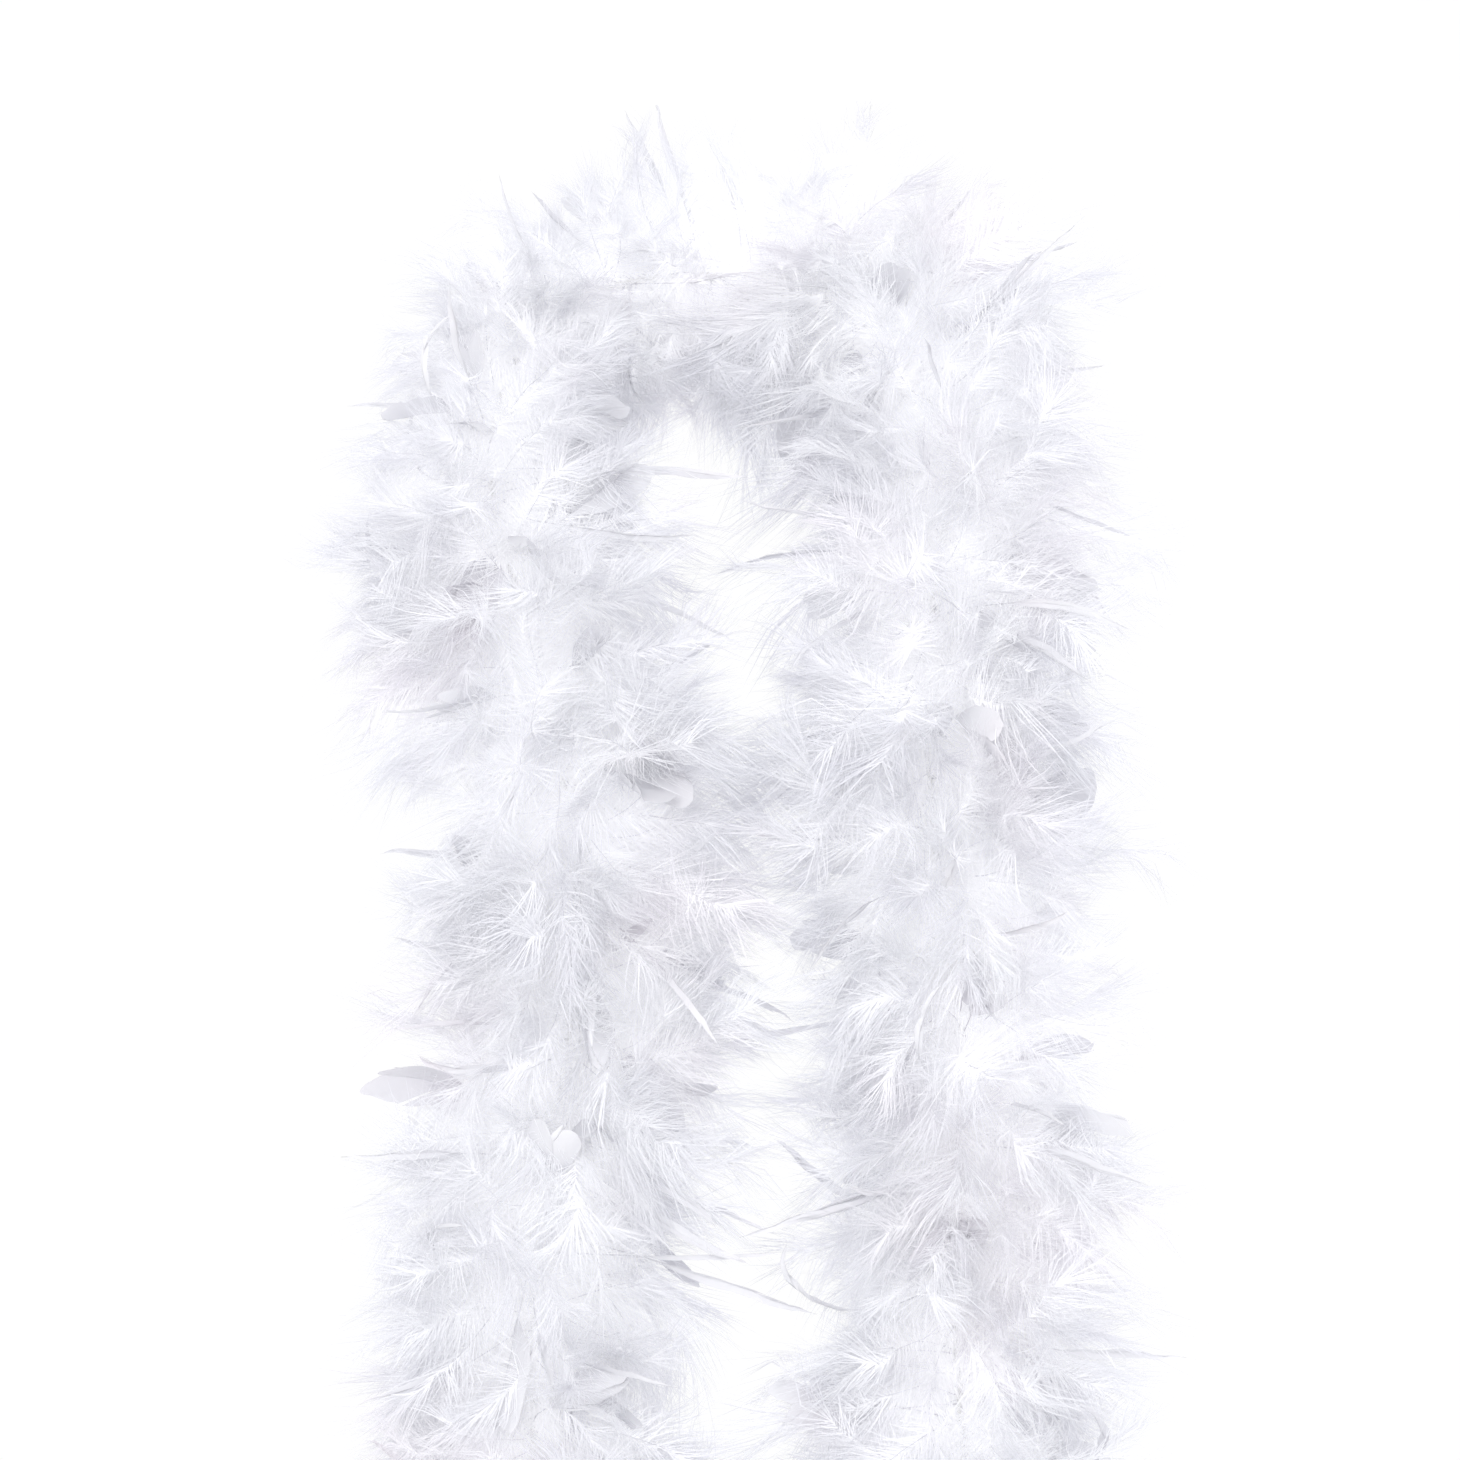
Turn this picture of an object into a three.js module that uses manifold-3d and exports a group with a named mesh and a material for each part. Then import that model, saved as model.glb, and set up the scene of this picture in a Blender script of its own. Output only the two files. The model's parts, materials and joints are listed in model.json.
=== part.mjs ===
// A feather boa hung round the neck, with both tails hanging down in front.
//
// Units are millimetres and +Z is up. The wearer faces -Y, and "left" is the -X side, which is
// the left of someone who looks at the wearer. The origin is the middle of the core cord, where
// the boa lies on the nape and the wearer's neck carries it.
//
// A boa is one long core cord with feathers trapped between its twisted plies. Here the cord is a
// set of plain tubes, and the feathers are short sections: a sleeve of bound quills round the cord
// with plumes standing out of it. Each cord end has a thread whipping, a knot and a hanging loop.

import * as THREE from 'three';
import { mergeVertices } from 'three/addons/utils/BufferGeometryUtils.js';
import Module from 'manifold-3d';

// Core cord
const CORD_DIAMETER = 3.6;
const CORD_LENGTH = 1800;
const CORD_SIDES = 8;
const SLEEVE_SIDES = 6;
const CORD_STEP = 24; // at most, between the cord's rings
const CORD_JOINT_GAP = 3; // between two stretches, so that they can bend at a joint
const TOUCH_GAP = 0.3; // between pieces that touch

// Feather sections
const SECTIONS_A_SIDE = 12;
const SECTION_GAP = 4.5; // between neighbouring quill sleeves
const SLEEVE_CLEARANCE = 1.5; // round the cord
const SLEEVE_WALL = 1.2; // over the bore's corners
const PLUMES_A_SECTION = 16;
const PLUME_LENGTH = 88; // the longest, from the cord's middle to the tip
const NAPE_PLUME_LENGTH = 68; // in the sections that lie on the nape
const STRAY_LENGTH = 106; // plumes that stand out to the side, away from the other tail
const STRAY_AIM = 0.92; // how nearly sideways they point, with 1 for straight sideways
const PLUME_VARIATION = 0.18; // the shortest is this share shorter
const PLUME_WIDTH = 17;
const PLUME_THICKNESS = 0.7;
const QUILL_WIDTH = 1.8;
const WIDEST_SHARE = 0.62; // of the plume's length, where it is widest
const TIP_SPREAD = 4; // how far a plume's tip strays from its section's middle
const GOLDEN_ANGLE = Math.PI * (3 - Math.sqrt(5));

// Neck opening: no plume reaches into this upright cylinder
const NECK_RADIUS = 55;
const NECK_CENTRE_Y = -84;
const NECK_CLEARANCE = 3;

// Cord ends
const END_BARE = 24; // bare cord past the last feathers
const WHIPPING_LENGTH = 12;
const WHIPPING_CLEARANCE = 0.5; // round the cord
const WHIPPING_WALL = 0.8;
const KNOT_DIAMETER = 10;
const LOOP_WIDTH = 16;
const LOOP_HEIGHT = 26;
const LOOP_CORD = 3;

// Joints stand at these section boundaries, counted from the nape
const TAIL_STARTS = { upper: 6, middle: 8, lower: 10 };

// The cord's route, from the nape outwards. The last point only keeps the end hanging straight.
const NAPE = [0, 0, 0];
const LEFT_ROUTE = [
  [-40, -6, -2],
  [-72, -28, -12],
  [-95, -62, -30],
  [-113, -98, -60],
  [-121, -127, -95],
  [-118, -146, -133],
  [-106, -160, -170],
  [-95, -170, -210],
  [-86, -176, -252],
  [-79, -178, -296],
  [-76, -178, -340],
  [-79, -178, -384],
  [-86, -178, -428],
  [-93, -178, -472],
  [-97, -178, -516],
  [-98, -178, -604],
  [-98, -178, -692],
  [-98, -178, -1000],
];
const RIGHT_ROUTE = [
  [38, -5, -2],
  [68, -26, -13],
  [88, -61, -34],
  [101, -99, -67],
  [110, -128, -103],
  [108, -147, -141],
  [101, -160, -180],
  [97, -170, -221],
  [99, -177, -263],
  [103, -180, -307],
  [109, -180, -351],
  [116, -180, -394],
  [118, -180, -438],
  [114, -180, -482],
  [112, -180, -526],
  [114, -180, -570],
  [117, -180, -614],
  [118, -180, -702],
  [118, -180, -1000],
];

const SECTION_PITCH = (CORD_LENGTH / 2 - END_BARE) / SECTIONS_A_SIDE;

const wasm = await Module();
wasm.setup();

function pointOf([x, y, z]) {
  return new THREE.Vector3(x, y, z);
}

const routePoints = [...LEFT_ROUTE.toReversed(), NAPE, ...RIGHT_ROUTE].map(pointOf);
const route = new THREE.CatmullRomCurve3(routePoints, false, 'centripetal');
const LENGTHS_A_SPAN = 100;
route.arcLengthDivisions = LENGTHS_A_SPAN * (routePoints.length - 1);
const routeLength = route.getLength();
const napeLength = route.getLengths()[LENGTHS_A_SPAN * LEFT_ROUTE.length];

// Distances along the cord run from the nape: a negative one is on the left.
function onRoute(distance) {
  return (napeLength + distance) / routeLength;
}

class CordStretch extends THREE.Curve {
  constructor(from, to) {
    super();
    this.from = from;
    this.to = to;
  }

  getPoint(t) {
    return route.getPointAt(onRoute(this.from + (this.to - this.from) * t));
  }
}

function polygon(sides, diameter) {
  const points = [];
  for (let i = 0; i < sides; i += 1) {
    const angle = (2 * Math.PI * i) / sides;
    points.push(new THREE.Vector2(Math.cos(angle), Math.sin(angle)).multiplyScalar(diameter / 2));
  }
  return points;
}

function stepsOf(stretch) {
  return Math.ceil(Math.abs(stretch.to - stretch.from) / CORD_STEP);
}

function extrudeAlong(stretch, shape) {
  return new THREE.ExtrudeGeometry(shape, { steps: stepsOf(stretch), extrudePath: stretch });
}

// The middle of an extruded stretch at a share of its length: it is straight between two rings
function middleOf(stretch, share) {
  const steps = stepsOf(stretch);
  const ring = Math.floor(share * steps);
  const next = stretch.getPoint((ring + 1) / steps);
  return stretch.getPoint(ring / steps).lerp(next, share * steps - ring);
}

function tubeAlong(stretch, diameter) {
  return extrudeAlong(stretch, new THREE.Shape(polygon(CORD_SIDES, diameter)));
}

// The diameter over the corners of a polygon whose flat sides touch a round of this diameter
function overCorners(diameter) {
  return diameter / Math.cos(Math.PI / SLEEVE_SIDES);
}

function boreRoundCord(clearance) {
  return overCorners(CORD_DIAMETER + 2 * clearance);
}

function sleeveAlong(stretch, clearance, wall) {
  const bore = boreRoundCord(clearance);
  const shape = new THREE.Shape(polygon(SLEEVE_SIDES, overCorners(bore + 2 * wall)));
  shape.holes.push(new THREE.Path(polygon(SLEEVE_SIDES, bore)));
  return extrudeAlong(stretch, shape);
}

function toSolid(geometry) {
  const bare = geometry.clone();
  bare.deleteAttribute('normal');
  bare.deleteAttribute('uv');
  const merged = mergeVertices(bare, 1e-4);
  const mesh = new wasm.Mesh({
    numProp: 3,
    vertProperties: new Float32Array(merged.attributes.position.array),
    triVerts: new Uint32Array(merged.index.array),
  });
  return new wasm.Manifold(mesh);
}

function toGeometry(solid) {
  const mesh = solid.getMesh();
  const geometry = new THREE.BufferGeometry();
  geometry.setAttribute('position', new THREE.BufferAttribute(mesh.vertProperties, 3));
  geometry.setIndex(new THREE.BufferAttribute(mesh.triVerts, 1));
  geometry.computeVertexNormals();
  return geometry;
}

function featherMaterial() {
  return new THREE.MeshStandardMaterial({ color: 0xf1eff8, roughness: 0.85, metalness: 0 });
}

function cordMaterial() {
  return new THREE.MeshStandardMaterial({ color: 0xece9e6, roughness: 0.9, metalness: 0 });
}

function threadMaterial() {
  return new THREE.MeshStandardMaterial({ color: 0xf7f5f2, roughness: 0.7, metalness: 0 });
}

// One plume: a flat leaf that starts at its quill, on the origin, and points along +Y
function plumeGeometry(length) {
  const half = PLUME_WIDTH / 2;
  const quill = QUILL_WIDTH / 2;
  const widest = length * WIDEST_SHARE;
  const outline = new THREE.Shape();
  outline.moveTo(-quill, 0);
  outline.lineTo(quill, 0);
  outline.lineTo(half, widest);
  outline.lineTo(0, length);
  outline.lineTo(-half, widest);
  const leaf = new THREE.ExtrudeGeometry(outline, { depth: PLUME_THICKNESS, bevelEnabled: false });
  return leaf.translate(0, 0, -PLUME_THICKNESS / 2);
}

// How far a straight plume can go from a point before it meets the wearer's neck
function roomToNeck(from, direction) {
  const reach = NECK_RADIUS + NECK_CLEARANCE + PLUME_THICKNESS;
  const x = from.x;
  const y = from.y - NECK_CENTRE_Y;
  const a = direction.x ** 2 + direction.y ** 2;
  const b = x * direction.x + y * direction.y;
  const c = x ** 2 + y ** 2 - reach ** 2;
  const inside = b ** 2 - a * c;
  if (b >= 0 || inside < 0) return Infinity;
  return (-b - Math.sqrt(inside)) / a;
}

function sectionFrame(distance) {
  const forwardAndUp = new THREE.Vector3(0, -0.6, 0.8);
  const along = route.getTangentAt(onRoute(distance));
  const out = forwardAndUp.addScaledVector(along, -forwardAndUp.dot(along)).normalize();
  const across = new THREE.Vector3().crossVectors(along, out);
  return { middle: route.getPointAt(onRoute(distance)), along, out, across };
}

function sleeveStretch(section, side) {
  const from = section * SECTION_PITCH + SECTION_GAP / 2;
  const to = (section + 1) * SECTION_PITCH - SECTION_GAP / 2;
  return new CordStretch(side * from, side * to);
}

function plume(index, section, side) {
  const frame = sectionFrame(side * (section + 0.5) * SECTION_PITCH);
  const share = (index + 0.5) / PLUMES_A_SECTION;
  const angle = index * GOLDEN_ANGLE + section;
  const outwards = frame.out.clone().multiplyScalar(Math.cos(angle));
  outwards.addScaledVector(frame.across, Math.sin(angle));

  const usual = section === 0 ? NAPE_PLUME_LENGTH : PLUME_LENGTH;
  const longest = side * outwards.x > STRAY_AIM ? STRAY_LENGTH : usual;
  const shorter = PLUME_VARIATION * (0.5 + 0.5 * Math.sin(5 * index + section));
  const tip = frame.middle.clone().addScaledVector(outwards, longest * (1 - shorter));
  tip.addScaledVector(frame.along, side * (2 * share - 1) * TIP_SPREAD);
  const root = middleOf(sleeveStretch(section, side), share);
  const direction = tip.clone().sub(root).normalize();
  const insideWall = (boreRoundCord(SLEEVE_CLEARANCE) + SLEEVE_WALL) / 2;
  root.addScaledVector(direction, insideWall);
  const length = Math.min(tip.distanceTo(root), roomToNeck(root, direction));

  const width = new THREE.Vector3().crossVectors(frame.along, direction).normalize();
  const face = new THREE.Vector3().crossVectors(width, direction);
  const place = new THREE.Matrix4().makeBasis(width, direction, face);
  return plumeGeometry(length).applyMatrix4(place.setPosition(root));
}

function featherSection(section, side) {
  const sleeve = sleeveAlong(sleeveStretch(section, side), SLEEVE_CLEARANCE, SLEEVE_WALL);
  let solid = toSolid(sleeve);
  for (let index = 0; index < PLUMES_A_SECTION; index += 1) {
    solid = solid.add(toSolid(plume(index, section, side)));
  }
  return toGeometry(solid);
}

function cordNode(name, from, to) {
  const mesh = new THREE.Mesh(tubeAlong(new CordStretch(from, to), CORD_DIAMETER), cordMaterial());
  mesh.name = name;
  return mesh;
}

function whipping(side) {
  const end = CORD_LENGTH / 2 - TOUCH_GAP;
  const stretch = new CordStretch(side * (end - WHIPPING_LENGTH), side * end);
  const thread = sleeveAlong(stretch, WHIPPING_CLEARANCE, WHIPPING_WALL);
  return new THREE.Mesh(thread, threadMaterial());
}

function knot(side) {
  const mesh = new THREE.Mesh(new THREE.SphereGeometry(KNOT_DIAMETER / 2, 10, 6), cordMaterial());
  mesh.position.copy(route.getPointAt(onRoute((side * CORD_LENGTH) / 2)));
  mesh.position.z -= KNOT_DIAMETER / 2 + TOUCH_GAP;
  return mesh;
}

function hangingLoop(side) {
  const radius = (LOOP_WIDTH - LOOP_CORD) / 2;
  const torus = new THREE.TorusGeometry(radius, LOOP_CORD / 2, 5, 14);
  torus.scale(1, LOOP_HEIGHT / LOOP_WIDTH, 1);
  const mesh = new THREE.Mesh(torus, cordMaterial());
  mesh.rotation.x = Math.PI / 2;
  mesh.position.copy(route.getPointAt(onRoute((side * CORD_LENGTH) / 2)));
  mesh.position.z -= KNOT_DIAMETER + LOOP_HEIGHT / 2 + 2 * TOUCH_GAP;
  return mesh;
}

function named(mesh, name) {
  mesh.name = name;
  return mesh;
}

function tailCord(sideName, side) {
  const group = new THREE.Group();
  const starts = Object.entries(TAIL_STARTS);
  for (const [i, [part, section]] of starts.entries()) {
    const last = i === starts.length - 1;
    const from = section * SECTION_PITCH + CORD_JOINT_GAP / 2;
    const to = last ? CORD_LENGTH / 2 : starts[i + 1][1] * SECTION_PITCH - CORD_JOINT_GAP / 2;
    group.add(cordNode(`core_cord_${sideName}_${part}`, side * from, side * to));
  }
  return group;
}

function half(sideName, side) {
  const group = new THREE.Group();
  group.add(tailCord(sideName, side));
  for (let section = 0; section < SECTIONS_A_SIDE; section += 1) {
    const number = String(section + 1).padStart(2, '0');
    const mesh = new THREE.Mesh(featherSection(section, side), featherMaterial());
    group.add(named(mesh, `feather_section_${sideName}_${number}`));
  }
  group.add(named(whipping(side), `end_whipping_${sideName}`));
  group.add(named(knot(side), `end_knot_${sideName}`));
  group.add(named(hangingLoop(side), `end_loop_${sideName}`));
  return group;
}

function shoulderCord() {
  const reach = TAIL_STARTS.upper * SECTION_PITCH - CORD_JOINT_GAP / 2;
  return cordNode('core_cord_shoulders', -reach, reach);
}

const boa = new THREE.Group();
boa.add(shoulderCord(), half('left', -1), half('right', 1));

export default boa;
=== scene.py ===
import json
import math

import bpy
import numpy as np
from bpy.props import FloatProperty, FloatVectorProperty, IntProperty, PointerProperty
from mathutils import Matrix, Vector

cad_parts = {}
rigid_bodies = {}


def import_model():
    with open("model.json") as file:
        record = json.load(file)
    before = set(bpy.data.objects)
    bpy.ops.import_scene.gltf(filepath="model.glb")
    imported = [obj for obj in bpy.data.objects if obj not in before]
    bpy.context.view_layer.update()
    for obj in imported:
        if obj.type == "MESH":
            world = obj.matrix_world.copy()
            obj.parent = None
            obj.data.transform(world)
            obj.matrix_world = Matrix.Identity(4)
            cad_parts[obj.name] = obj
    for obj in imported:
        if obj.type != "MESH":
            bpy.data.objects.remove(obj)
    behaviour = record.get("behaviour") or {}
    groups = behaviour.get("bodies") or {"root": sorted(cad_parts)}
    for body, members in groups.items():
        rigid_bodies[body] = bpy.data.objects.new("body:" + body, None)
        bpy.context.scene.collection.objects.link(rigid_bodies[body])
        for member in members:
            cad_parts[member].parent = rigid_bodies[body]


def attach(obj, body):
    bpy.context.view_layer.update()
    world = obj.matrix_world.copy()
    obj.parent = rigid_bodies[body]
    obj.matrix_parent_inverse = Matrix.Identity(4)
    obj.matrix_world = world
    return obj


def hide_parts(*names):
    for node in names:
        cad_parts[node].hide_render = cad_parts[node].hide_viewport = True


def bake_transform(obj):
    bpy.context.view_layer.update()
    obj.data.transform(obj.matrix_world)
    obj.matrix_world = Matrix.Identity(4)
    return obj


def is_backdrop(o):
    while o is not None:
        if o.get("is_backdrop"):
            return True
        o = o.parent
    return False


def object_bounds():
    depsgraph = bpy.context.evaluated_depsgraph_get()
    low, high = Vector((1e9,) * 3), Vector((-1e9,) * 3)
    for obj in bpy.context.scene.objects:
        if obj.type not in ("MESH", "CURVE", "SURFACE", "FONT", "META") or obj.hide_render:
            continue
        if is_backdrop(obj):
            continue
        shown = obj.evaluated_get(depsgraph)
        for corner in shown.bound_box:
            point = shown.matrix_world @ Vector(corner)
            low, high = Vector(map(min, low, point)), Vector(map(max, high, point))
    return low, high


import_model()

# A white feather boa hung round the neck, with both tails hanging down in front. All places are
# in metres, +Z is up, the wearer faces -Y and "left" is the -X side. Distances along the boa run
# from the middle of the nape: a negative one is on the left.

bl_info = {
    "name": "Feather boa",
    "version": (1, 0, 0),
    "blender": (4, 5, 0),
    "location": "View3D > Sidebar > Boa",
    "description": "Makes a white feather boa round its core cord",
    "category": "Add Mesh",
}

CAD_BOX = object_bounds()

# The cord's route, from the nape outwards
NAPE = (0.0, 0.0, 0.0)
LEFT_ROUTE = [
    (-0.040, -0.006, -0.002),
    (-0.072, -0.028, -0.012),
    (-0.095, -0.062, -0.030),
    (-0.113, -0.098, -0.060),
    (-0.121, -0.127, -0.095),
    (-0.118, -0.146, -0.133),
    (-0.106, -0.160, -0.170),
    (-0.095, -0.170, -0.210),
    (-0.086, -0.176, -0.252),
    (-0.079, -0.178, -0.296),
    (-0.076, -0.178, -0.340),
    (-0.079, -0.178, -0.384),
    (-0.086, -0.178, -0.428),
    (-0.093, -0.178, -0.472),
    (-0.097, -0.178, -0.516),
    (-0.098, -0.178, -0.604),
    (-0.098, -0.178, -0.692),
    (-0.098, -0.178, -1.000),
]
RIGHT_ROUTE = [
    (0.038, -0.005, -0.002),
    (0.068, -0.026, -0.013),
    (0.088, -0.061, -0.034),
    (0.101, -0.099, -0.067),
    (0.110, -0.128, -0.103),
    (0.108, -0.147, -0.141),
    (0.101, -0.160, -0.180),
    (0.097, -0.170, -0.221),
    (0.099, -0.177, -0.263),
    (0.103, -0.180, -0.307),
    (0.109, -0.180, -0.351),
    (0.116, -0.180, -0.394),
    (0.118, -0.180, -0.438),
    (0.114, -0.180, -0.482),
    (0.112, -0.180, -0.526),
    (0.114, -0.180, -0.570),
    (0.117, -0.180, -0.614),
    (0.118, -0.180, -0.702),
    (0.118, -0.180, -1.000),
]
SPAN_SAMPLES = 100
SECTION_POINTS = 13

SIDES = {"left": -1, "right": 1}
TAILS = ("upper", "middle", "lower")
SECTIONS_A_SIDE = 12
SECTIONS_A_BODY = 2
FIRST_TAIL_SECTION = 6
HALF_CORD = 0.900
END_BARE = 0.024
SECTION_PITCH = (HALF_CORD - END_BARE) / SECTIONS_A_SIDE
BEND_REACH = SECTION_PITCH / 2  # how far to either side of a joint bend_at reads the cord
FIRST_JOINT = FIRST_TAIL_SECTION * SECTION_PITCH
JOINT_SPACING = SECTIONS_A_BODY * SECTION_PITCH

WHIPPING_LENGTH = 0.012
WHIPPING_TURNS = 14
KNOT_SIZE = 0.0100
LOOP_SIZE = (0.016, 0.026)
PLY_RADIUS = 0.27  # as a share of the cord's diameter, as the next two are
KNOT_PLY_RADIUS = 0.42
LOOP_PLY_RADIUS = 0.35

# The upright cylinder that the wearer's neck fills, down to its foot
NECK_MIDDLE = (0.0, -0.084, 0.0)
NECK_RADIUS = 0.052
NECK_FOOT = -0.16
NECK_FOOT_ROUNDING = 0.06
BEHIND_NECK = (-0.09, -0.03)  # Y from where feathers start to turn aside to where they all do

# How feathers differ along a section
SMALLEST_FEATHER = 0.78
LARGEST_FEATHER = 1.16
SPREAD = 0.006
TUFT_SCALE = 38.0
TUFT_SIZES = 0.9
GUSTS = ((16.0, 1.0), (55.0, 0.42), (150.0, 0.16))  # the scale of each ruffle, and its share


# ---------------------------------------------------------------- the route


def centripetal(points, samples):
    """A centripetal Catmull-Rom curve through the points, with that many samples to a span."""
    points = np.array(points, float)
    points = np.vstack([2 * points[0] - points[1], points, 2 * points[-1] - points[-2]])
    t = np.linspace(0, 1, samples, endpoint=False)[:, None]
    line = []
    for p0, p1, p2, p3 in zip(points, points[1:], points[2:], points[3:]):
        d0, d1, d2 = (math.sqrt(np.linalg.norm(b - a)) for a, b in ((p0, p1), (p1, p2), (p2, p3)))
        m1 = ((p1 - p0) / d0 - (p2 - p0) / (d0 + d1) + (p2 - p1) / d1) * d1
        m2 = ((p2 - p1) / d1 - (p3 - p1) / (d1 + d2) + (p3 - p2) / d2) * d1
        square, cube = 3 * (p2 - p1) - 2 * m1 - m2, 2 * (p1 - p2) + m1 + m2
        line.append(p1 + m1 * t + square * t**2 + cube * t**3)
    return np.vstack([*line, points[-2]])


class Route:
    """The cord's middle line, read by distance from the nape."""

    def __init__(self):
        points = [*reversed(LEFT_ROUTE), NAPE, *RIGHT_ROUTE]
        self.line = centripetal(points, SPAN_SAMPLES)
        steps = np.linalg.norm(np.diff(self.line, axis=0), axis=1)
        lengths = np.concatenate([[0], np.cumsum(steps)])
        self.distance = lengths - lengths[len(LEFT_ROUTE) * SPAN_SAMPLES]

    def at(self, distance):
        """The places at those distances from the nape."""
        return np.stack([np.interp(distance, self.distance, c) for c in self.line.T], axis=-1)

    def along(self, distance, reach=0.004):
        step = self.at(np.add(distance, reach)) - self.at(np.subtract(distance, reach))
        return step / np.linalg.norm(step, axis=-1, keepdims=True)


ROUTE = Route()


def joint_distance(tail):
    """How far from the nape the joint is that starts a tail's body."""
    return FIRST_JOINT + TAILS.index(tail) * JOINT_SPACING


def parent_of(tail, side_name):
    """The body that a tail's body hangs from."""
    index = TAILS.index(tail)
    return "shoulders" if index == 0 else f"{side_name}_tail_{TAILS[index - 1]}"


def bend_at(piece, tail, side_name):
    """Works out the cord's ends round the joint that starts that tail body, and bakes the piece's place
    into its mesh.
    """
    middle = joint_distance(tail)
    start, end = (
        ROUTE.at(SIDES[side_name] * (middle + reach)) for reach in (-BEND_REACH, BEND_REACH)
    )
    parent_of(tail, side_name)
    tuple(start)
    tuple(end)
    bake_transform(piece)


# ---------------------------------------------------------------- node trees


class Value:
    """A socket that takes part in ordinary arithmetic, which adds the maths nodes."""

    def __init__(self, graph, socket):
        self.graph, self.socket = graph, socket

    def __add__(self, other):
        return self.graph.maths("ADD", self, other)

    def __sub__(self, other):
        return self.graph.maths("SUBTRACT", self, other)

    def __rsub__(self, other):
        return self.graph.maths("SUBTRACT", other, self)

    def __mul__(self, other):
        return self.graph.maths("MULTIPLY", self, other)

    __radd__ = __add__
    __rmul__ = __mul__


class Graph:
    """Adds nodes to one tree and hands out their outputs as values."""

    def __init__(self, tree):
        self.tree = tree

    def node(self, kind, settings=None, sockets=None):
        """A new node, with its settings made first and then its sockets fed."""
        node = self.tree.nodes.new(kind)
        for name, value in (settings or {}).items():
            if name == "stops":
                self._ramp(node.color_ramp, value)
            else:
                setattr(node, name, value)
        for key, value in (sockets or {}).items():
            self._feed(self._find(node.inputs, key), value)
        return node

    def add(self, kind, settings=None, sockets=None, out=0):
        """A new node's output as a value."""
        node = self.node(kind, settings, sockets)
        return Value(self, self._find(node.outputs, out))

    def maths(self, operation, *values):
        vector = any(isinstance(v, Value) and v.socket.type == "VECTOR" for v in values)
        vector = vector or any(isinstance(v, (tuple, Vector)) for v in values)
        kind = "ShaderNodeVectorMath" if vector else "ShaderNodeMath"
        return self.add(kind, {"operation": operation}, dict(enumerate(values)))

    def store(self, geometry, domain, kind, name, value):
        """The geometry with a named attribute added."""
        settings = {"data_type": kind, "domain": domain}
        sockets = {"Geometry": geometry, "Name": name, "Value": value}
        return self.add("GeometryNodeStoreNamedAttribute", settings, sockets)

    def stored(self, kind, name):
        return self.add("GeometryNodeInputNamedAttribute", {"data_type": kind}, {"Name": name})

    @staticmethod
    def _find(sockets, key):
        shown = [s for s in sockets if s.enabled]
        return shown[key] if isinstance(key, int) else next(s for s in shown if s.name == key)

    def _feed(self, socket, value):
        if isinstance(value, Value):
            self.tree.links.new(value.socket, socket)
        elif socket.type == "VECTOR" and isinstance(value, (int, float)):
            socket.default_value = (value, value, value)
        else:
            socket.default_value = value

    @staticmethod
    def _ramp(ramp, stops):
        while len(ramp.elements) < len(stops):
            ramp.elements.new(1.0)
        for element, (place, colour) in zip(ramp.elements, stops):
            element.position, element.color = place, (*colour, 1)


def new_material(name):
    """A material with its graph and its shader."""
    material = bpy.data.materials.new(name)
    material.use_nodes = True
    graph = Graph(material.node_tree)
    return material, graph, material.node_tree.nodes["Principled BSDF"]


def feather_material(colours):
    """White down and vane: each feather has its own tint, and the down is painted lighter towards its root,
    with a painted glow there, for the light scattered deep in the fluff.
    """
    material, graph, shader = new_material("white_feather")
    tint, barb, along, vane = (
        graph.add("ShaderNodeAttribute", {"attribute_name": name}, out="Fac")
        for name in ("tint", "barb", "along", "vane")
    )
    place = graph.add("ShaderNodeTexCoord", out="Object")
    patches = graph.add("ShaderNodeTexNoise", None, {"Vector": place, "Scale": 11.0, "Detail": 2.0})
    warm = graph.add(
        "ShaderNodeMapRange", None, {"Value": patches, "From Min": 0.52, "From Max": 0.75}
    )

    def mixed(share, low, high):
        return graph.add("ShaderNodeMix", {"data_type": "RGBA"}, {"Factor": share, "A": low, "B": high})

    down = mixed(tint, (*colours.shade, 1), (*colours.light, 1))
    blade = mixed(tint, (*colours.dark_blade, 1), (*colours.light_blade, 1))
    outer = mixed(vane, down, blade)
    blushing = mixed(warm * colours.blush_share, outer, (*colours.blush, 1))
    # painted light: the down's base colour turns to the lighter root colour towards the quill, deep in the
    # fluff, to stand in for light scattered there
    depth = 1 - along * (0.5 + 0.5 * barb)
    inwards = graph.add("ShaderNodeClamp", None, {"Value": depth * (1 - vane) * 1.1})
    colour = mixed(inwards, blushing, (*colours.root, 1))
    links = material.node_tree.links
    links.new(colour.socket, shader.inputs["Base Color"])
    # painted glow: an emission, strongest near the quill, that stands in for light scattered between many
    # barbs before it comes back out
    painted_glow = mixed(inwards, (0, 0, 0, 1), (*colours.root, 1))
    links.new(painted_glow.socket, shader.inputs["Emission Color"])
    shader.inputs["Emission Strength"].default_value = colours.inner_light
    links.new((0.55 + 0.25 * barb * (1 - vane)).socket, shader.inputs["Roughness"])
    shader.inputs["Specular IOR Level"].default_value = 0.2
    return material


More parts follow.
